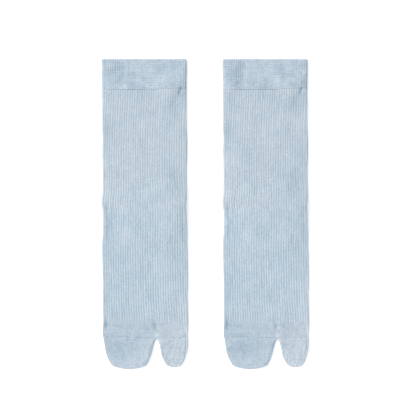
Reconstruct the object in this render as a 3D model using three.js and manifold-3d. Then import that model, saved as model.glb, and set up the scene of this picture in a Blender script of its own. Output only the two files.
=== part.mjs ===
// A pair of split-toe ankle socks, lying flat and side by side with the front of each leg up.
// Each sock is knitted in six sections: a double welt, a ribbed leg and foot, a plain heel pocket,
// a plain forefoot, and one pocket each for the big toe and the other four toes. The heel pocket
// lies folded flat under the foot, with its tip towards the toes.
//
// Millimetres, +Z up, +Y towards the cuffs. The origin is on the table under the middle of the
// pair. In a sock's own tables "down" is the distance from the cuff's edge towards the toes, and
// "left" and "right" are measured from the sock's centre line.

import * as THREE from 'three';
import { mergeVertices } from 'three/addons/utils/BufferGeometryUtils.js';
import Module from 'manifold-3d';

const { smoothstep, degToRad, lerp } = THREE.MathUtils;

// Driving dimensions of one sock.
const sockLength = 320; // cuff's edge to the tip of the four-toe pocket
const cuffHeight = 30.5;
const heelFoldDown = 148; // the line where the heel pocket folds under
const heelPocketLength = 36;
const ribEndDown = 272.3;
const toeSeamDown = 287.5;
const crotchAcross = 13; // where the two toe pockets part
const forefootEndDown = 289; // the edge of the cloth between the two toe pockets

// Cloth.
const ribWall = 1.4;
const plainWall = 1.1;
const weltWall = 2.2; // two layers of plain knit, turned over at the cuff's edge
const layerGap = 0.6; // left between the front and back of a sock that lies flat
const heelLayerGap = 0.4;
const lipRounding = 0.7;
const seamGap = 0.3;

// The pair.
const centreLinePitch = 124.8;

// Outline of the welt, leg, foot and forefoot.
const tubeOutline = [
  { down: 0, left: -44.3, right: 43.8 },
  { down: 30, left: -43.8, right: 43.6 },
  { down: 60, left: -43.9, right: 43.7 },
  { down: 85, left: -43.3, right: 44.0 },
  { down: 112, left: -43.0, right: 43.7 },
  { down: 126, left: -43.0, right: 43.8 },
  { down: 138, left: -43.5, right: 44.2 },
  { down: 146, left: -44.6, right: 44.4 },
  { down: 157, left: -43.4, right: 44.1 },
  { down: 178, left: -43.0, right: 44.5 },
  { down: 200, left: -43.8, right: 44.4 },
  { down: 222, left: -43.5, right: 45.0 },
  { down: 236, left: -43.0, right: 44.7 },
  { down: 254, left: -43.1, right: 44.8 },
  { down: 270, left: -42.6, right: 45.0 },
  { down: 290, left: -42.6, right: 44.6 },
];

// Half outline of the heel pocket, from its fold line out to its tip.
const heelOutline = [
  { out: 0, half: 41 },
  { out: 8, half: 39.5 },
  { out: 16, half: 36.5 },
  { out: 24, half: 32 },
  { out: 31, half: 26 },
];
const heelTipDepth = heelPocketLength - heelOutline.at(-1).out;

// The two toe pockets: the rows run down to where the round end starts.
const fourToeOutline = [
  { down: 281, left: -43.0, right: 16.0 },
  { down: 287.5, left: -43.0, right: 14.6 },
  { down: 290.5, left: -42.1, right: 12.2 },
  { down: 294, left: -41.7, right: 10.4 },
  { down: 298, left: -40.9, right: 8.7 },
  { down: 306, left: -38.9, right: 6.7 },
  { down: 310.5, left: -37.2, right: 5.0 },
  { down: 314.5, left: -34.6, right: 2.9 },
];
const fourToeEndDepth = sockLength - fourToeOutline.at(-1).down;
const bigToeOutline = [
  { down: 281, left: 10.0, right: 44.8 },
  { down: 287.5, left: 11.4, right: 44.7 },
  { down: 290.5, left: 13.8, right: 44.6 },
  { down: 294, left: 15.5, right: 44.5 },
  { down: 302, left: 16.8, right: 44.0 },
  { down: 306, left: 18.0, right: 42.7 },
  { down: 310.5, left: 19.3, right: 41.3 },
  { down: 314, left: 21.6, right: 38.9 },
];
const bigToeEndDepth = 3.9;

// Mesh fineness.
const sideTurns = [0, 30, 60, 90].map(degToRad); // points round a rolled side
const flatSpans = 12; // spans across the flat of a section
const endTurns = [32, 58, 76, 87].map(degToRad); // rows round a pocket's end
const drapeLevels = [141.5, 144, 151, 164, 171, 184, 188, 192, 196]; // rows added over the heel pocket
const flatTolerance = 0.02; // faces this close to flat are joined

// Height of the sock over the folded heel pocket: full over the pocket, draping off round it.
const heelThickness = 2 * plainWall + heelLayerGap;
const heelRise = heelThickness + seamGap;
const drapeStart = 2;
const drapeEnd = 11;

const wasm = await Module();
wasm.setup();

const outlineAt = (rows, down) => {
  const next = Math.max(1, rows.findIndex((row) => row.down >= down));
  const [a, b] = [rows[next - 1], rows[next]];
  const share = (down - a.down) / (b.down - a.down);
  return { down, left: lerp(a.left, b.left, share), right: lerp(a.right, b.right, share) };
};

// Rows of an outline between two levels, both included, and at any extra levels there.
function rowsBetween(rows, from, to, extraLevels = []) {
  const levels = [...rows.map((row) => row.down), ...extraLevels].sort((a, b) => a - b);
  const within = levels.filter((down) => down > from + 1 && down < to - 1);
  return [from, ...within, to].map((down) => outlineAt(rows, down));
}

// Rows that close a pocket with half an ellipse, from its last row on.
const endRows = ({ down, left, right }, depth) =>
  endTurns.map((turn) => {
    const [middle, half] = [(left + right) / 2, ((right - left) / 2) * Math.cos(turn)];
    const along = (depth * Math.sin(turn)) / Math.sin(endTurns.at(-1));
    return { down: down + along, left: middle - half, right: middle + half };
  });

const inset = (rows, wall) =>
  rows.map(({ down, left, right }) => ({ down, left: left + wall, right: right - wall }));

// Corners of the heel pocket's outline on both sides of the sock.
const heelRows = heelOutline.map(({ out, half }) => ({
  down: heelFoldDown + seamGap + out,
  left: -half,
  right: half,
}));
const heelRing = (() => {
  const rows = [...heelRows, ...endRows(heelRows.at(-1), heelTipDepth)];
  const leftSide = rows.map((row) => new THREE.Vector2(row.left, row.down));
  const rightSide = rows.map((row) => new THREE.Vector2(row.right, row.down));
  return [...leftSide, ...rightSide.reverse()];
})();

// Distance from a point of the sock to the heel pocket's outline, and 0 inside it.
function distanceToHeel(across, down) {
  const point = new THREE.Vector2(across, down);
  let inside = false;
  let nearest = Infinity;
  heelRing.forEach((a, i) => {
    const b = heelRing[(i + 1) % heelRing.length];
    const edge = b.clone().sub(a);
    const along = THREE.MathUtils.clamp(point.clone().sub(a).dot(edge) / edge.lengthSq(), 0, 1);
    nearest = Math.min(nearest, a.clone().addScaledVector(edge, along).distanceTo(point));
    const crosses = a.y > down !== b.y > down;
    if (crosses && across < a.x + ((down - a.y) / edge.y) * edge.x) inside = !inside;
  });
  return inside ? 0 : nearest;
}

const riseAt = (across, down) =>
  heelRise * (1 - smoothstep(distanceToHeel(across, down), drapeStart, drapeEnd));

// One closed section across a sock: flat above and below, with round sides.
function sectionRing({ down, left, right, bottom, top }) {
  const middle = (left + right) / 2;
  const half = (right - left) / 2;
  const sideRadius = Math.min((top(left, down) - bottom(left, down)) / 2, 0.9 * half);
  const flatHalf = half - sideRadius;
  const side = sideTurns.map((turn) => ({
    off: flatHalf + sideRadius * Math.cos(turn),
    share: Math.sin(turn),
  }));
  const flat = Array.from({ length: flatSpans - 1 }, (_, i) => ({
    off: flatHalf * (1 - (2 * (i + 1)) / flatSpans),
    share: 1,
  }));
  const otherSide = side.map(({ off, share }) => ({ off: -off, share })).reverse();
  const across = [...side, ...flat, ...otherSide].reverse();
  const height = ({ off, share }, sign) => {
    const [low, high] = [bottom(middle + off, down), top(middle + off, down)];
    return (low + high) / 2 + (sign * share * (high - low)) / 2;
  };
  const y = sockLength / 2 - down;
  const upper = across.map((p) => [middle + p.off, y, height(p, 1)]);
  const lower = across.slice(1, -1).map((p) => [middle + p.off, y, height(p, -1)]);
  return [...upper, ...lower.reverse()];
}

// A closed solid through a row of sections, with flat ends.
function loft(sections) {
  const rings = sections.map(sectionRing);
  const count = rings[0].length;
  const last = (rings.length - 1) * count;
  const faces = [];
  for (let r = 0; r + 1 < rings.length; r++) {
    for (let i = 0; i < count; i++) {
      const j = (i + 1) % count;
      const [a, b] = [r * count + i, r * count + j];
      faces.push([a, b + count, b], [a, a + count, b + count]);
    }
  }
  for (let i = 0; i < count / 2; i++) {
    const [j, under, underNext] = [i + 1, (count - i) % count, count - i - 1];
    if (under !== i) faces.push([i, j, under], [last + i, last + under, last + j]);
    if (underNext !== j) faces.push([j, underNext, under], [last + j, last + under, last + underNext]);
  }
  return new wasm.Manifold(
    new wasm.Mesh({
      numProp: 3,
      vertProperties: new Float32Array(rings.flat(2)),
      triVerts: new Uint32Array(faces.flat()),
    }),
  );
}

// A box over part of a sock, as tall as anything on it, for cutting it into its sections.
function cutter(left, right, downFrom, downTo) {
  const tall = 40;
  const box = new THREE.BoxGeometry(right - left, downTo - downFrom, tall);
  box.translate((left + right) / 2, sockLength / 2 - (downFrom + downTo) / 2, 0);
  box.deleteAttribute('normal');
  box.deleteAttribute('uv');
  const merged = mergeVertices(box);
  return new wasm.Manifold(
    new wasm.Mesh({
      numProp: 3,
      vertProperties: merged.attributes.position.array,
      triVerts: new Uint32Array(merged.index.array),
    }),
  );
}

// Sections between two surfaces, moved in from both by the thickness of the wall.
const sectionsOf = (rows, bottom, top, wall) =>
  inset(rows, wall).map((row) => ({
    ...row,
    bottom: (x, down) => bottom(x, down) + wall,
    top: (x, down) => top(x, down) - wall,
  }));

const onTable = () => 0;

function cuff() {
  const thickness = 2 * weltWall + layerGap;
  const rows = rowsBetween(tubeOutline, 0, cuffHeight);
  const lipRow = { ...rows[0], down: lipRounding };
  const rounded = (row, by) => ({ ...row, left: row.left + by, right: row.right - by });
  const outer = [rows[0], lipRow, ...rows.slice(1)];
  const outerSections = sectionsOf(outer, onTable, () => thickness, 0);
  const lip = rounded(outerSections[0], lipRounding);
  outerSections[0] = { ...lip, bottom: () => lipRounding, top: () => thickness - lipRounding };
  // The hollow runs past both ends of the welt and flares at its lip.
  const inner = [{ ...rows[0], down: -seamGap }, lipRow, { ...rows.at(-1), down: cuffHeight + 1 }];
  const innerSections = sectionsOf(inner, onTable, () => thickness, weltWall);
  const mouth = rounded(innerSections[0], -lipRounding);
  innerSections[0] = {
    ...mouth,
    bottom: () => weltWall - lipRounding,
    top: () => thickness - weltWall + lipRounding,
  };
  return loft(outerSections).subtract(loft(innerSections));
}

function legAndFoot() {
  const thickness = 2 * ribWall + layerGap;
  const overlap = 2; // how far the foot's loft reaches into the leg's
  const draped = (x, down) => riseAt(x, down) + thickness;
  const tube = (from, to, bottom, wall) =>
    loft(sectionsOf(rowsBetween(tubeOutline, from, to, drapeLevels), bottom, draped, wall));
  const legTop = cuffHeight + seamGap;
  const footStart = heelFoldDown - overlap;
  const leg = tube(legTop, heelFoldDown, onTable, 0);
  const foot = tube(footStart, ribEndDown, riseAt, 0);
  // The hollow runs out of both ends, and through the fold line into the heel pocket.
  const insideLeg = tube(legTop - 1, heelFoldDown + seamGap, onTable, ribWall);
  const insideFoot = tube(footStart - 1, ribEndDown + 1, riseAt, ribWall);
  return leg.add(foot).subtract(insideLeg.add(insideFoot));
}

// A flat pocket that is closed at its end, as an outer and an inner solid.
function pocket(rows, endDepth, thickness, wall) {
  const tip = rows.at(-1).down + endDepth;
  const sections = (inWall) => {
    const endDown = tip - inWall;
    const end = endRows(inset(rows, inWall).at(-1), endDepth - inWall);
    const radius = thickness / 2 - inWall;
    return [...inset(rows, inWall), ...end].map((row) => {
      const past = THREE.MathUtils.clamp((row.down - endDown + radius) / radius, 0, 0.98);
      const half = radius * Math.sqrt(1 - past * past);
      return { ...row, bottom: () => thickness / 2 - half, top: () => thickness / 2 + half };
    });
  };
  return { outer: loft(sections(0)), inner: loft(sections(wall)) };
}

function heel() {
  const { outer, inner } = pocket(heelRows, heelTipDepth, heelThickness, plainWall);
  const start = heelRows[0].down;
  const mouth = sectionsOf(
    [{ ...heelRows[0], down: start - 1 }, { ...heelRows[0], down: start + 1 }],
    onTable,
    () => heelThickness,
    plainWall,
  );
  return outer.subtract(inner.add(loft(mouth)));
}

// The forefoot and both toe pockets as one shell, cut apart along the toe seam and the crotch.
function toeEnd() {
  const thickness = 2 * plainWall + layerGap;
  const forefootTop = ribEndDown + seamGap;
  const band = (from, to, wall) =>
    loft(sectionsOf(rowsBetween(tubeOutline, from, to), onTable, () => thickness, wall));
  const fourToes = pocket(fourToeOutline, fourToeEndDepth, thickness, plainWall);
  const bigToe = pocket(bigToeOutline, bigToeEndDepth, thickness, plainWall);
  const outer = band(forefootTop, forefootEndDown, 0).add(fourToes.outer).add(bigToe.outer);
  const inside = band(forefootTop - 1, forefootEndDown - plainWall, plainWall);
  const shell = outer.subtract(inside.add(fourToes.inner).add(bigToe.inner));
  const beyond = 60; // past either side and the tip of the sock
  const half = seamGap / 2;
  return {
    forefoot: shell.intersect(cutter(-beyond, beyond, forefootTop - 2, toeSeamDown - half)),
    four_toes: shell.intersect(
      cutter(-beyond, crotchAcross - half, toeSeamDown + half, sockLength + beyond),
    ),
    big_toe: shell.intersect(
      cutter(crotchAcross + half, beyond, toeSeamDown + half, sockLength + beyond),
    ),
  };
}

function geometryOf(solid) {
  const { vertProperties, triVerts } = solid.simplify(flatTolerance).getMesh();
  const geometry = new THREE.BufferGeometry();
  geometry.setAttribute('position', new THREE.BufferAttribute(vertProperties, 3));
  geometry.setIndex(new THREE.BufferAttribute(triVerts, 1));
  geometry.computeVertexNormals();
  return geometry;
}

const knit = (color, roughness) =>
  new THREE.MeshStandardMaterial({ color, roughness, metalness: 0 });
const ribKnit = knit('#bfcdd8', 0.9);
const plainKnit = knit('#bac9d6', 0.92);
const weltKnit = knit('#bacbd9', 0.9);

const sections = [
  { name: 'cuff', solid: cuff(), material: weltKnit },
  { name: 'leg_and_foot', solid: legAndFoot(), material: ribKnit },
  { name: 'heel', solid: heel(), material: plainKnit },
  ...Object.entries(toeEnd()).map(([name, solid]) => ({ name, solid, material: plainKnit })),
].map(({ name, solid, material }) => ({ name, geometry: geometryOf(solid), material }));

// Both socks are alike. The pair's widest points are set evenly about the origin.
const widest = {
  left: Math.min(...tubeOutline.map((row) => row.left)),
  right: Math.max(...tubeOutline.map((row) => row.right)),
};
const pairShift = -(widest.left + widest.right) / 2;

const pair = new THREE.Group();
for (const [sockName, side] of [['sock1', -1], ['sock2', 1]]) {
  const sock = new THREE.Group();
  sock.position.x = (side * centreLinePitch) / 2 + pairShift;
  for (const { name, geometry, material } of sections) {
    const mesh = new THREE.Mesh(geometry, material);
    mesh.name = `${sockName}_${name}`;
    sock.add(mesh);
  }
  pair.add(sock);
}

export default pair;
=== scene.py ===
from math import cos, exp, hypot, pi, radians, sin, sqrt

import bmesh
import bpy
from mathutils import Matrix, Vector, noise


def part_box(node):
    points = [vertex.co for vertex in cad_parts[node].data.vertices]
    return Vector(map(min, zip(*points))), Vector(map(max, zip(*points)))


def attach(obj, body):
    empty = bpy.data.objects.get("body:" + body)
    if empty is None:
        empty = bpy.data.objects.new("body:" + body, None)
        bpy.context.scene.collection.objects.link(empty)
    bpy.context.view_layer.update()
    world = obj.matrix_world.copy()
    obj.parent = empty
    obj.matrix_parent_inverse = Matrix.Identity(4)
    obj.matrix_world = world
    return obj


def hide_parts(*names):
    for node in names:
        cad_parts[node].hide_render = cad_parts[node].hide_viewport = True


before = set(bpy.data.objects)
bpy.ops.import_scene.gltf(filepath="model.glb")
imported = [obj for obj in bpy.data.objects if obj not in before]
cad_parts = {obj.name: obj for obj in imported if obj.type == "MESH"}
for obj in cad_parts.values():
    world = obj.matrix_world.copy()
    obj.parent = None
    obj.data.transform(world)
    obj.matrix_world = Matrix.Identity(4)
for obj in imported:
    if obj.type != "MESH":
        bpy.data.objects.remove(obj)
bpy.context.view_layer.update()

# Sizes are in millimetres. On a sock, "down" is the distance from the cuff's edge towards the
# toes, "across" is measured from the sock's centre line, and heights are above the table.
mm = 0.001

sock = {
    "ribs": 72,  # all round the leg
    "columnsPerRib": 6,
    "wales": 144,  # stitch columns all round, two to a rib
    "courseHeight": 0.95,
    "girth": 176.0,  # all round, lying flat
    "plainWall": 1.1,
    "seed": 4.0,
}

# Outline of the welt, leg, foot and forefoot.
tubeOutline = [
    {"down": 0, "left": -44.3, "right": 43.6},
    {"down": 6, "left": -44.6, "right": 43.6},
    {"down": 21, "left": -44.3, "right": 43.4},
    {"down": 33, "left": -44.4, "right": 43.4},
    {"down": 42, "left": -44.1, "right": 43.6},
    {"down": 72, "left": -44.0, "right": 43.7},
    {"down": 80, "left": -43.7, "right": 44.0},
    {"down": 97, "left": -43.7, "right": 44.1},
    {"down": 112, "left": -43.4, "right": 43.5},
    {"down": 138, "left": -43.6, "right": 44.2},
    {"down": 145, "left": -44.6, "right": 44.0},
    {"down": 150, "left": -44.3, "right": 43.6},
    {"down": 158, "left": -43.2, "right": 43.8},
    {"down": 178, "left": -43.3, "right": 44.5},
    {"down": 190, "left": -43.9, "right": 44.4},
    {"down": 222, "left": -43.5, "right": 45.0},
    {"down": 232, "left": -43.1, "right": 45.0},
    {"down": 243, "left": -43.4, "right": 44.7},
    {"down": 257, "left": -43.3, "right": 45.0},
    {"down": 268, "left": -42.9, "right": 45.3},
    {"down": 277, "left": -43.3, "right": 45.4},
    {"down": 286, "left": -43.4, "right": 44.8},
    {"down": 292, "left": -42.8, "right": 44.8},
]


def clamp(value, low=0.0, high=1.0):
    return max(low, min(high, value))


def ease(low, high, value):
    share = clamp((value - low) / (high - low))
    return share * share * (3 - 2 * share)


def bell(distance, width):
    return exp(-((distance / width) ** 2))


def mix(a, b, share):
    return a + (b - a) * share


def curveThrough(rows, key, down):
    # A smooth curve through a table's rows, straight beyond its ends.
    last = len(rows) - 1
    i = next((n for n in range(1, last) if rows[n]["down"] >= down), last)

    def slopeAt(n):
        a, b = rows[max(n - 1, 0)], rows[min(n + 1, last)]
        return (b[key] - a[key]) / (b["down"] - a["down"])

    a, b = rows[i - 1], rows[i]
    span = b["down"] - a["down"]
    t = (down - a["down"]) / span
    if not 0 <= t <= 1:
        end = i if t > 1 else i - 1
        return rows[end][key] + slopeAt(end) * (down - rows[end]["down"])
    startPart = (2 * t**3 - 3 * t**2 + 1) * a[key] + (t**3 - 2 * t**2 + t) * span * slopeAt(i - 1)
    endPart = (3 * t**2 - 2 * t**3) * b[key] + (t**3 - t**2) * span * slopeAt(i)
    return startPart + endPart


def edgesOf(rows, down):
    return curveThrough(rows, "left", down), curveThrough(rows, "right", down)


def levels(start, end, step):
    count = max(1, round(abs(end - start) / step))
    return [mix(start, end, n / count) for n in range(count + 1)]


# The heel pocket lies folded flat under the foot, from the fold line towards the toes.
heel = {
    "fold": 148.3,
    "depth": 36.0,
    "thickness": 2.6,
    "clearance": 0.3,
    "soleDrape": (-0.5, 7.5),  # the cloth over it comes down between these two distances from it
    "frontDrape": (-9.0, 26.0),
    "frontLift": 0.9,  # the front, stretched over the heel, rises this share as far
    "tipStart": 31.0,
    "columns": 160,
}
heelOutline = [
    {"down": 0, "half": 41.0},
    {"down": 8, "half": 39.5},
    {"down": 16, "half": 36.5},
    {"down": 24, "half": 32.0},
    {"down": 31, "half": 26.0},
]


def roundEnd(rows, depth, turns, blunt=1.0):
    # Left and right edges over the round end of a pocket, past its outline's last row.
    left, right = rows[-1]["left"], rows[-1]["right"]
    middle, half = (left + right) / 2, (right - left) / 2
    for turn in turns:
        along = depth * sin(turn) ** blunt
        reach = half * cos(turn) ** blunt if turn < pi / 2 - 1e-6 else 0.0
        yield {"down": rows[-1]["down"] + along, "left": middle - reach, "right": middle + reach}


def heelHalf(out):
    return curveThrough(heelOutline, "half", out)


def heelRing():
    # The heel pocket's outline on the table, as points all round it.
    side = [(heelHalf(out), heel["fold"] + out) for out in levels(0, heel["tipStart"], 4)]
    half, depth = heelHalf(heel["tipStart"]), heel["depth"] - heel["tipStart"]
    for turn in levels(0, pi / 2, pi / 12)[1:-1]:
        side.append((half * cos(turn), heel["fold"] + heel["tipStart"] + depth * sin(turn)))
    return side + [(-across, down) for across, down in reversed(side)]


heelPoints = heelRing()


def distanceToHeel(across, down):
    # How far a place is outside the heel pocket's outline, negative inside it.
    inside, nearest = False, 1e9
    for (ax, ay), (bx, by) in zip(heelPoints, heelPoints[1:] + heelPoints[:1]):
        ex, ey = bx - ax, by - ay
        t = clamp(((across - ax) * ex + (down - ay) * ey) / (ex * ex + ey * ey))
        nearest = min(nearest, hypot(ax + t * ex - across, ay + t * ey - down))
        if (ay > down) != (by > down) and across < ax + (down - ay) / ey * ex:
            inside = not inside
    return -nearest if inside else nearest


def heelRise(across, down, drape):
    # How far the heel pocket lifts the cloth over it.
    if not heel["fold"] - drape[1] < down < heel["fold"] + heel["depth"] + drape[1]:
        return 0.0
    full = heel["thickness"] + heel["clearance"]
    return full * (1 - ease(*drape, distanceToHeel(across, down)))


# Creases and ridges pressed into the front of each sock. Each runs through a few places
# (across, down), fades in and out over its ends, and is as deep and wide as its row says. A
# negative depth is a ridge.
creases = [
    # the pucker at the end of the welt's seam, and the pull that runs down from it
    {"path": [(39.4, 28.2), (36.8, 32.5), (35.4, 38.5)], "width": 1.35, "depth": 1.3, "fade": 3.5},
    {"path": [(35.5, 37.5), (31, 46), (26, 56)], "width": 3.0, "depth": 0.4, "fade": 8},
    {"path": [(41, 31.5), (38.8, 38)], "width": 1.4, "depth": -0.5, "fade": 3},
    # beside the heel, left
    {"path": [(-39.6, 143), (-38.2, 154), (-36.2, 168), (-37, 190)],
     "width": 2.3, "depth": 1.15, "fade": 9},
    {"path": [(-33.6, 156), (-32.6, 186)], "width": 1.9, "depth": 0.5, "fade": 9},
    # beside the heel, right
    {"path": [(40.4, 148), (41.4, 188)], "width": 3.4, "depth": 0.75, "fade": 10},
    {"path": [(36, 138), (40, 156)], "width": 3.0, "depth": 0.22, "fade": 7},
    {"path": [(31, 180), (22, 197)], "width": 3.6, "depth": 0.4, "fade": 7},
    # across the instep, where the heel folds below it
    {"path": [(-33, 150), (6, 154), (40, 168)], "width": 4.5, "depth": 0.3, "fade": 12},
    # above the cleft between the toes
    {"path": [(7, 264), (10.8, 272), (13.6, 282)], "width": 2.0, "depth": 1.0, "fade": 5},
    {"path": [(2, 275), (12.4, 287)], "width": 2.6, "depth": 0.4, "fade": 5},
    {"path": [(-39.4, 264), (-39, 283)], "width": 1.9, "depth": 0.8, "fade": 6},
]

# Seams knitted or linked into the toes, as narrow grooves.
seams = [
    {"path": [(-20, 289.75), (-7.5, 289.75)], "width": 0.45, "depth": 0.42, "fade": 3},
    {"path": [(11, 289.4), (7.9, 295.5), (6.1, 302), (4.6, 308), (2.4, 312.6), (-1.5, 316)],
     "width": 0.55, "depth": 0.45, "fade": 2},
    {"path": [(42.1, 281), (42.9, 289), (43, 296), (42, 302), (40.4, 307)],
     "width": 0.55, "depth": 0.55, "fade": 4},
    {"path": [(24, 292.7), (33, 292.6)], "width": 0.5, "depth": 0.2, "fade": 3},
]


def alongPath(path, across, down):
    # The distance aside from a path, and how far along it and short of its end that is.
    nearest, run, passed = 1e9, 0.0, 0.0
    for (ax, ay), (bx, by) in zip(path, path[1:]):
        ex, ey = bx - ax, by - ay
        length = hypot(ex, ey)
        t = clamp(((across - ax) * ex + (down - ay) * ey) / length**2)
        aside = hypot(ax + t * ex - across, ay + t * ey - down)
        if aside < nearest:
            nearest, run = aside, passed + t * length
        passed += length
    return nearest, run, passed - run


def pressed(rows, across, down):
    # How deep the rows press the cloth in at a place.
    total = 0.0
    for row in rows:
        reach = 2.6 * row["width"]
        if not row["path"][0][1] - reach < down < row["path"][-1][1] + reach:
            continue
        aside, before, after = alongPath(row["path"], across, down)
        if aside < reach:
            fade = ease(0, row["fade"], before) * ease(0, row["fade"], after)
            total += row["depth"] * bell(aside, row["width"]) * fade
    return total


def creaseDepth(across, down):
    return pressed(creases, across, down) + pressed(seams, across, down)


def wander(across, down, size, key):
    # Smooth unevenness between -1 and 1, with bumps about this size.
    return noise.noise(Vector((across / size, down / size, sock["seed"] + key)))


# How the laid sock is pulled a little out of true, and painted light and shade: where its colour is
# made lighter or darker to stand in for light and shadow on it.
lay = {
    "meander": 0.22,
    "weltDropLeft": 1.0,
    "weltDropRight": -0.2,
    "toeRise": 0.2,
    "toeRiseLeft": 1.0,  # the toe seam lies this much higher on the left
    "seamShade": 0.5,
}
# Painted light and painted shade: soft patches that make the cloth's colour lighter or darker where
# light and shadow fall on it.
paintedLightAndShade = [
    {"at": (-31, 12), "size": (8, 11), "lift": -0.06},
    {"at": (-14, 16), "size": (7, 5), "lift": -0.11},
    {"at": (-19, 23), "size": (6, 6), "lift": -0.06},
    {"at": (19, 13), "size": (4, 7), "lift": -0.19},
    {"at": (27, 11), "size": (4, 8), "lift": 0.08},
    {"at": (36, 15), "size": (5, 7), "lift": 0.06},
    {"at": (17, 26), "size": (12, 8), "lift": 0.05},
    {"at": (38, 33), "size": (7, 10), "lift": -0.12},
    {"at": (-12, 22), "size": (7, 4), "lift": -0.07},
    {"at": (-3, 27), "size": (7, 3.5), "lift": -0.08},
    {"at": (-3, 14), "size": (5, 4), "lift": 0.08},
    {"at": (27, 18), "size": (5, 8), "lift": 0.08},
    {"at": (-36, 22), "size": (5, 5), "lift": -0.05},
    {"at": (26, 30.8), "size": (9, 1.3), "lift": 0.16},
    {"at": (-41, 30.8), "size": (5, 1.4), "lift": 0.22},
    {"at": (41.4, 13), "size": (1.3, 14), "lift": -0.14},
    {"at": (36.4, 33), "size": (1.8, 4.5), "lift": -0.15},
    {"at": (29.5, 48), "size": (8, 14), "lift": -0.2},
    {"at": (-2, 36), "size": (12, 9), "lift": -0.08},
    {"at": (-38, 38), "size": (8, 8), "lift": -0.07},
    {"at": (21, 35), "size": (7, 7), "lift": 0.08},
    {"at": (36, 66), "size": (5, 12), "lift": 0.08},
    {"at": (-40, 80), "size": (5, 20), "lift": -0.13},
    {"at": (26, 123), "size": (5, 8), "lift": -0.08},
    {"at": (-36, 112), "size": (8, 15), "lift": 0.07},
    {"at": (-37, 143), "size": (7, 9), "lift": 0.1},
    {"at": (32, 128), "size": (7, 20), "lift": -0.12},
    {"at": (-34.8, 167), "size": (4.6, 20), "lift": -0.16},
    {"at": (-39, 225), "size": (6, 50), "lift": -0.07},
    {"at": (-24, 153), "size": (12, 9), "lift": 0.08},
    {"at": (-31, 178), "size": (4, 8), "lift": -0.06},
    {"at": (-6, 174), "size": (7, 10), "lift": -0.08},
    {"at": (19, 184), "size": (5, 14), "lift": 0.06},
    {"at": (-21, 184), "size": (8, 12), "lift": 0.07},
    {"at": (9, 186), "size": (14, 11), "lift": 0.05},
    {"at": (-22, 196), "size": (7, 10), "lift": 0.04},
    {"at": (18, 236), "size": (10, 22), "lift": 0.04},
    {"at": (34, 212), "size": (10, 14), "lift": -0.06},
    {"at": (43.5, 240), "size": (2, 45), "lift": 0.08},
    {"at": (43.5, 281), "size": (2.6, 10), "lift": 0.22},
    {"at": (-43.6, 60), "size": (1.4, 80), "lift": 0.08},
    {"at": (28, 190), "size": (6, 12), "lift": -0.05},
    {"at": (40, 264), "size": (6, 22), "lift": 0.1},
    {"at": (10, 275), "size": (2.2, 5), "lift": -0.12},
    {"at": (-10, 276), "size": (30, 6), "lift": -0.04},
    {"at": (12, 282), "size": (8, 7), "lift": 0.1},
    {"at": (-39.3, 273.5), "size": (2.6, 5), "lift": -0.3},
    {"at": (-29, 297), "size": (14, 12), "lift": -0.1},
    {"at": (3, 303), "size": (7, 12), "lift": 0.09},
    {"at": (14.6, 293), "size": (2.4, 6), "lift": 0.16},
    {"at": (12.4, 287), "size": (1.7, 3), "lift": 0.3},
    {"at": (43.8, 298), "size": (1.8, 10), "lift": 0.26},
    {"at": (-12, 311), "size": (9, 6), "lift": 0.06},
    {"at": (35, 291), "size": (11, 16), "lift": 0.1},
    {"at": (31, 303), "size": (13, 13), "lift": 0.09},
    {"at": (31, 316), "size": (9, 2.8), "lift": 0.16},
    {"at": (40.4, 304), "size": (2.2, 9), "lift": 0.12},
    {"at": (-23, 317), "size": (7, 3), "lift": 0.14},
    {"at": (-26, 290), "size": (13, 1.5), "lift": 0.1},
    {"at": (-14, 288.6), "size": (6, 0.6), "lift": 0.14},
    {"at": (38, 315), "size": (4, 3), "lift": 0.12},
    {"at": (4, 307), "size": (2.5, 5), "lift": 0.13},
]

# Where the colour is cooler, or warmer where it is negative.
hues = {"foot": 1.0, "bigToe": -1.2, "drift": 0.35}


def coolAt(across, down):
    foot = ease(148, 162, down) * (1 - ease(258, 274, down))
    bigToe = ease(6, 14, across) * ease(268, 284, down)
    return hues["foot"] * foot + hues["bigToe"] * bigToe + hues["drift"] * wander(across, down, 16, 12)


# How far the ribs lean aside, round the leg, and how far they spread from the middle of the
# front and back towards both edges.
twist = [
    {"down": 0, "aside": 0.5, "spread": -0.6},
    {"down": 31, "aside": 0.35, "spread": -0.55},
    {"down": 60, "aside": -1.0, "spread": -0.45},
    {"down": 90, "aside": -2.0, "spread": -0.3},
    {"down": 118, "aside": -1.9, "spread": 0.05},
    {"down": 150, "aside": -1.55, "spread": 0.65},
    {"down": 180, "aside": -2.0, "spread": 0.35},
    {"down": 228, "aside": -2.15, "spread": 0.5},
    {"down": 265, "aside": -1.25, "spread": 0.95},
    {"down": 290, "aside": -0.8, "spread": 1.0},
]
crowding = {"welt": 2.2, "leg": 0.6}  # how much closer the ribs lie on the left


def twisted(share, down, crowd):
    turn = 2 * pi * share
    aside = curveThrough(twist, "aside", down) - crowd * sin(turn)
    aside -= curveThrough(twist, "spread", down) * cos(turn)
    return (share + aside / sock["girth"]) % 1


def settled(across, down):
    # Where a place on the straight sock lies once the sock is laid down.
    toCuff = ease(0, 6, down)
    aside = lay["meander"] * (wander(across, down, 24, 5) + 0.6 * wander(across, down, 9, 6))
    along = lay["meander"] * 1.2 * wander(across, down, 30, 7) * toCuff
    drop = mix(lay["weltDropLeft"], lay["weltDropRight"], ease(4, 22, across))
    along += drop * bell(down - tube["cuffEnd"], 13)
    rise = lay["toeRise"] + lay["toeRiseLeft"] * (1 - ease(-22, -13, across))
    along -= rise * bell(down - tube["forefootEnd"], 7)
    return across + aside, down + along


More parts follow.
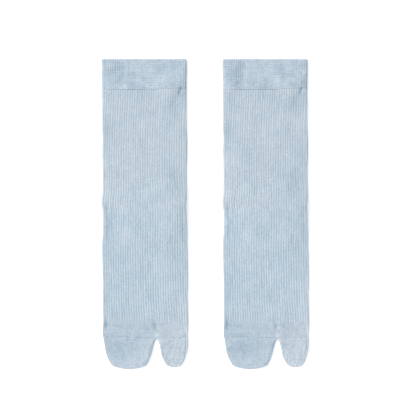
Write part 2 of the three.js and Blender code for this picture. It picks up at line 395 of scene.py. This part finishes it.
def seamPull(across, down):
    # How tightly a seam draws the cloth in along its length.
    uneven = 0.8 + 0.6 * wander(across, down, 7, 9)
    if down > 200:  # the toe seam, flat on the big toe's side
        return mix(0.5, 0.85, ease(-16, 0, across)) * uneven * (1 - 0.8 * ease(9, 15, across))
    if down > 20:  # the welt's seam, tightest left of the middle
        right = 1 - 0.8 * ease(0, 12, across)
        return uneven * ease(-40, -33, across) * (right + 0.3 * bell(across + 12, 8))
    return 1.0


def paintedLightAndShadeAt(across, down):
    # Painted light and shade: the patches' lighter and darker colour at this place.
    total = 0.0
    for row in paintedLightAndShade:
        x, y = (across - row["at"][0]) / row["size"][0], (down - row["at"][1]) / row["size"][1]
        total += row["lift"] * exp(-(x * x + y * y))
    # painted shade along the seams, darker where they press the cloth deeper
    return total - lay["seamShade"] * pressed(seams, across, down)


# The tube: sections across the welt, leg, foot and forefoot.
tube = {
    "cuffEnd": 30.6,
    "ribStart": 30.68,
    "ribEnd": 272.45,
    "ribEndRight": 1.4,  # the rib runs on this much further on the big toe's side
    "forefootEnd": 287.5,
    "cuffThick": 4.3,
    "legThick": 3.5,
    "forefootThick": 2.8,
    "ribDepth": 0.32,
    "footRibDepth": 0.39,
    "weltRibDepth": 0.42,
    "unevenness": 0.22,
    "crumple": 0.04,
    "weltWave": 0.3,
    "shoulder": 0.5,  # the front drops this much towards its edges
    "weltWall": 1.9,
    "weltLip": 0.9,
    "weltColumnsPerRib": 4,
    "ribWall": 1.4,
}


def thicknessAt(down):
    # Of a sock lying flat: thickest at the welt, which tucks in at its seam.
    if down < tube["cuffEnd"] + 0.05:
        tuck = ease(tube["cuffEnd"] - 3, tube["cuffEnd"], down)
        return mix(tube["cuffThick"], tube["legThick"] + 0.5, tuck)
    leg = mix(tube["legThick"] + 0.1, tube["legThick"], ease(31, 40, down))
    return mix(leg, tube["forefootThick"], ease(258, 280, down))


def frontAt(across, down):
    # Height of the front of the sock.
    left, right = edgesOf(tubeOutline, down)
    toEdge = min(across - left, right - across)
    height = thicknessAt(down) + heel["frontLift"] * heelRise(across, down, heel["frontDrape"])
    height -= tube["shoulder"] * (1 - ease(0, 9, toEdge))
    height += tube["unevenness"] * wander(across, down, 26, 0)
    height += 0.5 * tube["unevenness"] * wander(across, down, 9, 1)
    height += tube["crumple"] * wander(across, down, 3.5, 8)
    return height - creaseDepth(across, down)


def soleAt(across, down):
    # Height of the back: on the table, or on the folded heel pocket.
    folded = ease(heel["fold"] - 4, heel["fold"] - 0.1, down)
    return heelRise(across, down, heel["soleDrape"]) * folded


def aroundSection(share, left, right, half):
    # A point of a flat section with round sides, from its left edge over the front and back
    # under the sole: its place across, its side from -1 under to 1 over, and its normal.
    flat = right - left - 2 * half
    turn = pi * half / 2
    along = share * (2 * flat + 4 * turn)
    if along < turn:
        angle = along / half
        return left + half - half * cos(angle), sin(angle), -cos(angle), sin(angle)
    along -= turn
    if along < flat:
        return left + half + along, 1.0, 0.0, 1.0
    along -= flat
    if along < 2 * turn:
        angle = along / half
        return right - half + half * sin(angle), cos(angle), sin(angle), cos(angle)
    along -= 2 * turn
    if along < flat:
        return right - half - along, -1.0, 0.0, -1.0
    angle = (along - flat) / half
    return left + half - half * sin(angle), -cos(angle), -sin(angle), -cos(angle)


def sectionPoint(share, row, front, sole, relief=None, crowd=0.0):
    # One point of a piece: row says how far down it is, its edges, half its thickness at the
    # sides, and how deep in the cloth it lies.
    place = twisted(share, row["down"], crowd)
    across, side, outX, outZ = aroundSection(place, row["left"], row["right"], row["half"])
    top, bottom = front(across, row["down"]), sole(across, row["down"])
    middle, reach = (top + bottom) / 2, (top - bottom) / 2
    if row["inner"]:
        reach = max(reach, row["inset"] + 0.05)
    inward = row["inset"]
    if not row["inner"]:
        inward *= seamPull(across, row["down"])
    if relief and not row["inner"]:
        inward += relief(share, across, side, row["down"])
    return across - outX * inward, middle + side * reach - outZ * inward


def placeOf(n):
    # The middle of a sock and the edge of its cuff, in the scene.
    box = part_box(f"sock{n}_cuff")
    return box[0].x - tubeOutline[0]["left"] * mm, box[1].y


def shell(name, rows, columns, pointOf, knitOf, n):
    # A closed wall of cloth: a grid whose columns run round the sock, and whose rows run down
    # its outside, round its edge and back up its inside.
    centre, top = placeOf(n)
    sharpFold = radians(66)
    bm = bmesh.new()
    bakeMap = bm.loops.layers.uv.new("OFBake")
    knitMap = bm.loops.layers.uv.new("knit")
    closed = rows + rows[:1]
    bmesh.ops.create_grid(bm, x_segments=columns, y_segments=len(rows), size=1, calc_uvs=True)
    bm.verts.ensure_lookup_table()
    # painted light and shade, kept on each point for the knit's colour
    paintedShading = bm.verts.layers.float.new("paintedShading")
    cool = bm.verts.layers.float.new("cool")
    spots = [((v.co.x + 1) / 2, round((v.co.y + 1) / 2 * len(rows))) for v in bm.verts]
    knitPlaces = [knitOf(share, closed[step]) for share, step in spots]
    for face in bm.faces:
        face.smooth = True
        for loop in face.loops:
            loop[knitMap].uv = knitPlaces[loop.vert.index]
            loop[bakeMap].uv = loop[bakeMap].uv * 0.996 + Vector((0.002, 0.002))
    for vert, (share, step) in zip(bm.verts, spots):
        across, height = pointOf(share, closed[step])
        vert[paintedShading] = paintedLightAndShadeAt(across, closed[step]["down"])
        vert[cool] = coolAt(across, closed[step]["down"])
        across, down = settled(across, closed[step]["down"])
        vert.co = Vector((centre + across * mm, top - down * mm, height * mm))
    bmesh.ops.remove_doubles(bm, verts=bm.verts, dist=2e-6)
    bmesh.ops.recalc_face_normals(bm, faces=bm.faces)
    for edge in bm.edges:
        edge.smooth = len(edge.link_faces) == 2 and edge.calc_face_angle(0) < sharpFold
    mesh = bpy.data.meshes.new(name)
    bm.to_mesh(mesh)
    bm.free()
    piece = bpy.data.objects.new(name, mesh)
    bpy.context.scene.collection.objects.link(piece)
    return piece


def wallRows(outside, inside, wall, tuckIn):
    # Rows of a shell that is open at both ends: down its outside and back up its inside. The
    # outside tucks in by so much at some places.
    rows = []
    for inner, downs in ((False, outside), (True, inside)):
        for down in downs:
            left, right = edgesOf(tubeOutline, down)
            row = {"down": down, "left": left, "right": right, "half": thicknessAt(down) / 2}
            rows.append(row | {"inner": inner, "inset": wall if inner else tuckIn.get(down, 0.0)})
    return rows


def ribRelief(share, depth):
    # How far the knit sinks between ribs, 0 on a rib's broad crest.
    return depth * abs(sin(pi * share * sock["ribs"])) ** 3


def ribEndAt(across):
    uneven = 2.4 * wander(across, 0, 2.6, 11)
    return tube["ribEnd"] - 2.0 + tube["ribEndRight"] * ease(6, 15, across) + uneven


def ribsLeft(across, side, down):
    # 1 on the ribbed leg, fading to 0 where the plain forefoot begins.
    end = ribEndAt(across) if side > -0.5 else tube["ribEnd"]
    return 1 - ease(end - 3.0, end + 3.5, down)


def tubeRelief(share, across, side, down):
    start = 0.45 + 0.55 * ease(tube["ribStart"] - 1, tube["ribStart"] + 4, down)
    full = mix(tube["ribDepth"], tube["footRibDepth"], ease(150, 220, down))
    depth = full * start * ribsLeft(across, side, down) * (1 + 0.45 * wander(across, down, 5, 2))
    plain = 0.2 * (1 - ribsLeft(across, side, down))
    return ribRelief(share, depth) + plain


def tubePoint(share, row):
    return sectionPoint(share, row, frontAt, soleAt, tubeRelief, crowding["leg"])


def knitPlace(share, row):
    return share * sock["wales"], -row["down"] / sock["courseHeight"]


def makeCuff(n):
    wall, lip, end = tube["weltWall"], tube["weltLip"], tube["cuffEnd"]
    roundedLip = {0.0: lip, 0.12: 0.5, 0.35: 0.22, lip: 0.0}
    tuckIn = {end - 1.2: 0.0, end - 0.6: 0.02, end - 0.25: 0.12, end: 0.36}
    outside = [*roundedLip, *levels(2, end - 1.2, 1.2)[:-1], *tuckIn]
    inside = [end, end - 6, 12, 4, lip, 0.3, 0.0]
    rows = wallRows(outside, inside, wall, roundedLip | tuckIn)
    rows[-2]["inset"] = wall - 0.15
    rows[-1]["inset"] = wall - 0.5

    def front(across, down):
        return frontAt(across, down) + tube["weltWave"] * wander(across, 0.3 * down, 7, 10)

    def relief(share, across, side, down):
        fade = 0.3 + mix(1.25, 0.5, ease(14, 24, down)) * bell(across + 30, 8)
        fade += 0.8 * ease(28, 38, across)
        return ribRelief(share, tube["weltRibDepth"] * fade)

    def point(share, row):
        return sectionPoint(share, row, front, soleAt, relief, crowding["welt"])

    columns = sock["ribs"] * tube["weltColumnsPerRib"]
    piece = shell(f"sock{n}_welt", rows, columns, point, knitPlace, n)
    finishPiece(piece, f"sock{n}_cuff", "welt_knit")


def makeLeg(n):
    start, end, fold = tube["ribStart"], tube["ribEnd"], heel["fold"]
    outside = [start, start + 0.25, start + 0.7] + levels(start + 1.6, fold - 2, 2.0)
    outside += [fold - 1.3, fold - 0.7, fold - 0.1] + levels(fold + 1, end, 2.0)
    inside = levels(end, fold + 1, 7.0) + [fold - 0.1, fold - 1.3] + levels(fold - 3, start, 7.0)
    rows = wallRows(outside, inside, tube["ribWall"], {start: 0.2, start + 0.25: 0.06})
    columns = sock["ribs"] * sock["columnsPerRib"]
    piece = shell(f"sock{n}_ribbed_leg", rows, columns, tubePoint, knitPlace, n)
    finishPiece(piece, f"sock{n}_leg_and_foot", "rib_knit")


def makeForefoot(n):
    start, end = tube["ribEnd"], tube["forefootEnd"]
    outside = levels(start, end - 1, 1.0) + [end - 0.5, end - 0.2, end]
    inside = levels(end, start, 3.0)
    tuckIn = {end - 0.5: 0.03, end - 0.2: 0.1, end: 0.26}
    rows = wallRows(outside, inside, sock["plainWall"], tuckIn)
    columns = sock["ribs"] * sock["columnsPerRib"]
    piece = shell(f"sock{n}_plain_forefoot", rows, columns, tubePoint, knitPlace, n)
    finishPiece(piece, f"sock{n}_forefoot", "plain_knit")


def closeness(down, tip, half):
    # 1 where a pocket is at its full thickness, falling to almost 0 round its tip.
    return sqrt(clamp(1 - clamp((down - (tip - half)) / half) ** 2, 0.0004))


def pocketRows(outline, body, depth, half, tuckIn, blunt=1.0):
    # Rows of a shell that a round end closes: down its outside to the tip, and back up its
    # inside, which ends a wall's thickness short of the tip.
    wall, narrowest = sock["plainWall"], 0.03
    start, tip = outline[0]["down"], outline[-1]["down"] + depth
    rows = []
    for down in body:
        left, right = edgesOf(outline, down)
        rows.append({"down": down, "left": left, "right": right})
    rows += roundEnd(outline, depth, levels(0, pi / 2, pi / 24)[1:], blunt)
    shorter = (tip - wall - start) / (tip - start)
    inside = [row | {"down": mix(start, row["down"], shorter)} for row in reversed(rows[::3])]
    for inner, part in ((False, rows), (True, inside)):
        for row in part:
            thickest = min(half, 0.45 * (row["right"] - row["left"]) + 0.02)
            row["half"] = max(narrowest, thickest * closeness(row["down"], tip, half))
            row["inner"] = inner
            row["inset"] = min(wall, 0.8 * row["half"]) if inner else tuckIn.get(row["down"], 0.0)
    return rows + inside


# The two toe pockets. Past its outline's last row each closes with a round end, blunter than a
# half ellipse by this power.
toeBlunt = 1.12
toePockets = {
    "four_toes": {
        "outline": [
            {"down": 287.55, "left": -43.2, "right": 13.4},
            {"down": 289.5, "left": -42.6, "right": 11.9},
            {"down": 290.7, "left": -42.2, "right": 11.0},
            {"down": 295, "left": -41.6, "right": 9.6},
            {"down": 301, "left": -40.6, "right": 8.0},
            {"down": 304, "left": -39.7, "right": 7.3},
            {"down": 310.3, "left": -37.5, "right": 5.0},
            {"down": 314.5, "left": -34.9, "right": 2.9},
        ],
        "endDepth": 5.5,
        "crown": 0.5,
        "crumple": 0.15,
        "lean": 0.012,  # the front rises this much for each millimetre across
        "columns": 176,
        "flat": (0.112, 0.0324),
        "area": 0.0031,
    },
    "big_toe": {
        "outline": [
            {"down": 287.55, "left": 11.8, "right": 44.8},
            {"down": 289.5, "left": 13.3, "right": 44.8},
            {"down": 295, "left": 15.2, "right": 44.9},
            {"down": 298, "left": 15.8, "right": 44.7},
            {"down": 301, "left": 16.6, "right": 44.1},
            {"down": 307, "left": 17.9, "right": 42.3},
            {"down": 312.4, "left": 20.4, "right": 40.5},
            {"down": 314.2, "left": 21.7, "right": 39.0},
        ],
        "endDepth": 3.7,
        "crown": 0.7,
        "crumple": 0.42,
        "lean": 0.02,
        "columns": 176,
        "flat": (0.0626, 0.0302),
        "area": 0.00165,
    },
}


def makePocket(n, name):
    spec = toePockets[name]
    outline = spec["outline"]
    start, tip = outline[0]["down"], outline[-1]["down"] + spec["endDepth"]
    half = tube["forefootThick"] / 2
    body = [start, start + 0.2, start + 0.5] + levels(start + 1.2, outline[-1]["down"], 0.9)
    tuckIn = {start: 0.26, start + 0.2: 0.1, start + 0.5: 0.03}
    rows = pocketRows(outline, body, spec["endDepth"], half, tuckIn, toeBlunt)

    def front(across, down):
        left, right = edgesOf(outline, min(down, outline[-1]["down"]))
        middle, wide = (left + right) / 2, (right - left) / 2
        puff = (1 - clamp(abs(across - middle) / wide) ** 2.2) * ease(start - 1, start + 9, down)
        rise = spec["crown"] * puff + spec["lean"] * (across - middle)
        rise += 0.8 * tube["unevenness"] * wander(across, down, 11, 3)
        rise += spec["crumple"] * wander(across, 0.6 * down, 2.3, 8)
        close = closeness(down, tip, half)
        height = tube["forefootThick"] + rise * close - creaseDepth(across, down)
        return half + (height - half) * close

    def sole(across, down):
        return half - half * closeness(down, tip, half)

    def point(share, row):
        return sectionPoint(share, row, front, sole)

    def knit(share, row):
        # The wales run straight down a toe pocket, whatever its outline does.
        across, side, outX, _ = aroundSection(share, row["left"], row["right"], row["half"])
        wale = sock["girth"] / sock["wales"]
        way = 1 if side >= 0 else -1
        return (across + 0.5 * row["half"] * outX) / wale * way, -row["down"] / sock["courseHeight"]

    piece = shell(f"sock{n}_{name}_pocket", rows, spec["columns"], point, knit, n)
    finishPiece(piece, f"sock{n}_{name}", "plain_knit")


def makeHeel(n):
    half, tip = heel["thickness"] / 2, heel["fold"] + heel["depth"]
    outline = []
    for out in levels(0, heel["tipStart"], 4):
        outline.append({"down": heel["fold"] + out, "left": -heelHalf(out), "right": heelHalf(out)})
    body = levels(heel["fold"], outline[-1]["down"], 1.2)
    rows = pocketRows(outline, body, heel["depth"] - heel["tipStart"], half, {})

    def front(across, down):
        return half + half * closeness(down, tip, half)

    def sole(across, down):
        return half - half * closeness(down, tip, half)

    def point(share, row):
        return sectionPoint(share, row, front, sole, crowd=crowding["leg"])

    piece = shell(f"sock{n}_heel_pocket", rows, heel["columns"], point, knitPlace, n)
    finishPiece(piece, f"sock{n}_heel", "plain_knit")


def finishPiece(piece, node, slot):
    piece.data.materials.append(materials[slot])
    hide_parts(node)
    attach(piece, "root")


class Shade:
    # A socket in a material, with arithmetic.
    def __init__(self, tree, socket):
        self.tree = tree
        self.socket = socket

    def calc(self, operation, *values):
        node = self.tree.nodes.new("ShaderNodeMath")
        node.operation = operation
        for slot, value in zip(node.inputs, (self, *values)):
            if isinstance(value, Shade):
                self.tree.links.new(value.socket, slot)
            else:
                slot.default_value = value
        return Shade(self.tree, node.outputs[0])

    def __add__(self, other):
        return self.calc("ADD", other)

    __radd__ = __add__

    def __mul__(self, other):
        return self.calc("MULTIPLY", other)

    __rmul__ = __mul__

    def __sub__(self, other):
        return self.calc("SUBTRACT", other)

    def __rsub__(self, other):
        return (self * -1) + other

    def __pow__(self, other):
        return self.calc("POWER", other)

    def fraction(self):
        return self.calc("FRACT")

    def steps(self, low, high):
        node = self.tree.nodes.new("ShaderNodeMapRange")
        node.interpolation_type = "SMOOTHSTEP"
        self.tree.links.new(self.socket, node.inputs["Value"])
        node.inputs["From Min"].default_value = low
        node.inputs["From Max"].default_value = high
        return Shade(self.tree, node.outputs["Result"])


class Material:
    def __init__(self, name):
        self.made = bpy.data.materials.new(name)
        self.made.use_nodes = True
        self.tree = self.made.node_tree
        self.tree.nodes.clear()

    def node(self, kind, settings=None, **values):
        node = self.tree.nodes.new(kind)
        for key, value in (settings or {}).items():
            setattr(node, key, value)
        for key, value in values.items():
            name = key.replace("_", " ")
            slot = next(i for i in node.inputs if i.name == name and i.enabled)
            if isinstance(value, Shade):
                self.tree.links.new(value.socket, slot)
            else:
                slot.default_value = value
        return node

    def out(self, node, name):
        return Shade(self.tree, next(o for o in node.outputs if o.name == name and o.enabled))

    def noise(self, place, scale, detail):
        node = self.node("ShaderNodeTexNoise", Vector=place, Scale=scale, Detail=detail)
        return self.out(node, "Fac")

    def joined(self, x, y):
        return self.out(self.node("ShaderNodeCombineXYZ", X=x, Y=y), "Vector")

    def mixed(self, factor, a, b, way="MIX"):
        settings = {"data_type": "RGBA", "blend_type": way}
        return self.out(self.node("ShaderNodeMix", settings, Factor=factor, A=a, B=b), "Result")

    def fromWhole(self, value):
        # How far a value is from the nearest whole number.
        return ((value + 0.5).fraction() - 0.5).calc("ABSOLUTE")

    def arch(self, value):
        # 0 at 0 and 1, rising steeply to 1 half way between
        return (value * (1 - value) * 4) ** 0.5

    def finish(self, bsdf):
        output = self.node("ShaderNodeOutputMaterial")
        self.tree.links.new(bsdf.outputs["BSDF"], output.inputs["Surface"])
        return self.made


def makeKnit(name, look):
    # Ribbed or plain knit: wales run down the sock on the piece's knit map, one to each whole
    # number across, and each course is one whole number down.
    m = Material(name)
    knitMap = m.node("ShaderNodeUVMap", {"uv_map": "knit"})
    parts = m.node("ShaderNodeSeparateXYZ", Vector=m.out(knitMap, "UV"))
    wale, course = m.out(parts, "X"), m.out(parts, "Y")
    place = m.out(m.node("ShaderNodeTexCoord"), "Object")

    aside = m.fromWhole(wale) * 2  # 0 along a wale's middle, 1 at its edge
    if look["ribbed"]:
        offCrest = m.fromWhole(wale * 0.5) * 2  # 0 along a rib's crest, 1 between two ribs
        aside = (offCrest * (1 / look["crest"])).calc("MINIMUM", 1)
    leg = m.arch(aside)
    slant = course + aside * 0.75
    stitch = leg * (m.arch(slant.fraction()) * 0.6 + 0.4)
    # painted shade: darker in the hollows between a wale's yarn legs, and fully in the gaps between
    # ribs
    cavityShade = 1 - leg
    if look["ribbed"]:
        gap = offCrest.steps(look["crest"] - 0.12, look["crest"] + 0.12)
        crossing = m.arch((course + 0.5).fraction()) * 0.45
        stitch = stitch * (1 - gap) + crossing * gap
        cavityShade = cavityShade * 0.3 * (1 - gap) + gap

    # unevenness: patches, mottling, bands and streaks down the wales, bars along the courses,
    # single stitches and fibres
    patches = m.noise(place, look["patchScale"], 3)
    bands = m.noise(m.joined(wale * look["bandSize"][0], course * look["bandSize"][1]), 1, 1)
    bars = m.noise(m.joined(wale * look["barSize"][0], course * look["barSize"][1]), 1, 1)
    mottle = m.noise(place, look["mottleScale"], 2)
    streaks = m.noise(m.joined(wale * look["streakSize"][0], course * look["streakSize"][1]), 1, 1)
    whole = m.joined((wale + 0.5).calc("FLOOR"), slant.calc("FLOOR"))
    single = m.out(m.node("ShaderNodeTexWhiteNoise", {"noise_dimensions": "2D"}, Vector=whole), "Value")
    fibres = m.noise(place, look["fibreScale"], 1)
    # the painted light and shade kept on each point of the piece
    paintedShading = m.out(m.node("ShaderNodeAttribute", {"attribute_name": "paintedShading"}), "Fac")

    # painted shade in the hollows, and the painted light and shade kept on the piece
    shade = look["level"] + paintedShading - cavityShade * look["cavityShade"] * (streaks * 1.6 + 0.2)
    # painted light and shade over each stitch, lighter on its raised yarn and darker where it dips; the
    # streaks are uneven colour
    shade = shade + (stitch - 0.5) * look["stitch"] + (streaks - 0.5) * look["streaks"]
    shade = shade + (patches - 0.5) * look["patches"] + (mottle - 0.5) * look["mottle"]
    shade = shade + (single - 0.5) * look["single"] + (fibres - 0.5) * look["fibres"]
    shade = shade + (bands - 0.5) * look["bands"] + (bars - 0.5) * look["bars"]
    if look["lines"]:
        # wavering lines along the courses, stronger in some bands than in others
        lines = (course * (2 * pi / look["lineCourses"]) + patches * look["lineWaver"]).calc("SINE")
        shade = shade + lines * bands * look["lines"]
    colour = m.mixed(shade, look["dark"], look["light"])
    cool = m.out(m.node("ShaderNodeAttribute", {"attribute_name": "cool"}), "Fac")
    tint = m.mixed(cool * 0.5 + 0.5, look["warm"], look["cool"])
    colour = m.mixed(1.0, colour, tint, "MULTIPLY")
    bump = m.node("ShaderNodeBump", Distance=look["bump"] * mm, Height=stitch + fibres * 0.4)
    bsdf = m.node(
        "ShaderNodeBsdfPrincipled",
        Base_Color=colour,
        Roughness=look["roughness"],
        Specular_IOR_Level=look["specular"],
        Sheen_Weight=look["sheen"],
        Sheen_Roughness=look["sheenRoughness"],
        Normal=m.out(bump, "Normal"),
    )
    return m.finish(bsdf)


# Shade 0 is the dark colour and 1 the light one. A size is how fast the unevenness changes from
# one wale, and from one course, to the next.
knit = {
    "ribbed": False,
    "dark": (0.27, 0.36, 0.446, 1),
    "light": (0.663, 0.752, 0.833, 1),
    "warm": (1.0225, 0.999, 0.981, 1),
    "cool": (0.9775, 1.001, 1.019, 1),
    "level": 0.50,
    "cavityShade": 0.08,
    "stitch": 0.10,
    "streaks": 0.18,
    "streakSize": (0.6, 0.06),
    "bands": 0.12,
    "bandSize": (0.13, 0.025),
    "bars": 0.15,
    "barSize": (0.03, 0.65),
    "lines": 0.0,
    "lineCourses": 2.7,
    "lineWaver": 12.0,
    "patches": 0.30,
    "patchScale": 55.0,
    "mottle": 0.55,
    "mottleScale": 330.0,
    "single": 0.26,
    "fibres": 0.25,
    "fibreScale": 3500.0,
    "bump": 0.22,
    "roughness": 0.93,
    "specular": 0.2,
    "sheen": 0.2,
    "sheenRoughness": 0.45,
}
looks = {
    "welt_knit": knit | {
        "level": 0.445,
        "bands": 0.4,
        "lines": 0.11,
        "patchScale": 45.0,
        "mottle": 0.65,
        "mottleScale": 110.0,
    },
    "rib_knit": knit | {
        "ribbed": True,
        "crest": 0.6,
        "dark": (0.275, 0.372, 0.458, 1),
        "light": (0.672, 0.732, 0.778, 1),
        "bands": 0.0,
        "bars": 0.0,
        "level": 0.47,
        "cavityShade": 0.05,
        "streaks": 0.42,
        "mottle": 0.2,
        "single": 0.2,
    },
    "plain_knit": knit | {"level": 0.435, "mottleScale": 200.0, "mottle": 0.36},
}
materials = {slot: makeKnit(slot, look) for slot, look in looks.items()}
print(f"{len(materials)} knits are ready")

# The camera looks straight down on the pair, and sees this far across.
view = {"middle": (2.95, 6.3), "across": 430.1, "lens": 120.0, "sensor": 36.0}
studio = {
    "tableSize": 3.0,
    "tableWhite": (0.9, 0.9, 0.9, 1),
    "tableGlow": 0.3,
    "sky": 0.75,
    "lamp": 590.0,
    "lampSize": 4.0,
    "lampPlace": (-6, 2.4, 6),
}


def makeCamera():
    data = bpy.data.cameras.new("camera")
    data.lens, data.sensor_width = view["lens"], view["sensor"]
    camera = bpy.data.objects.new("camera", data)
    height = view["across"] * mm * view["lens"] / view["sensor"]
    camera.location = (view["middle"][0] * mm, view["middle"][1] * mm, height)
    data.clip_start, data.clip_end = 0.05, 10
    bpy.context.scene.collection.objects.link(camera)
    bpy.context.scene.camera = camera


def makeTable():
    mesh = bpy.data.meshes.new("table")
    bm = bmesh.new()
    bmesh.ops.create_grid(bm, x_segments=1, y_segments=1, size=studio["tableSize"])
    bm.to_mesh(mesh)
    bm.free()
    table = bpy.data.objects.new("table", mesh)
    bpy.context.scene.collection.objects.link(table)
    m = Material("white_table")
    bsdf = m.node("ShaderNodeBsdfPrincipled", Roughness=0.9)
    bsdf.inputs["Base Color"].default_value = studio["tableWhite"]
    bsdf.inputs["Emission Color"].default_value = (1, 1, 1, 1)
    bsdf.inputs["Emission Strength"].default_value = studio["tableGlow"]
    mesh.materials.append(m.finish(bsdf))


def makeLight():
    world = bpy.data.worlds.new("studio")
    world.use_nodes = True
    sky = world.node_tree.nodes["Background"]
    sky.inputs["Color"].default_value = (1, 1, 1, 1)
    sky.inputs["Strength"].default_value = studio["sky"]
    bpy.context.scene.world = world
    data = bpy.data.lights.new("window", "AREA")
    data.shape, data.size, data.energy = "DISK", studio["lampSize"], studio["lamp"]
    lamp = bpy.data.objects.new("window", data)
    lamp.location = studio["lampPlace"]
    lamp.rotation_euler = (Vector((0, 0, 0)) - lamp.location).to_track_quat("-Z", "Y").to_euler()
    bpy.context.scene.collection.objects.link(lamp)
    bpy.context.scene.view_settings.view_transform = "Standard"


makeCamera()
makeTable()
makeLight()
print("camera, table and light are set")
for n in (1, 2):
    makeCuff(n)
    makeLeg(n)
    makeForefoot(n)
    for name in toePockets:
        makePocket(n, name)
    makeHeel(n)
    print(f"sock {n} is knitted")
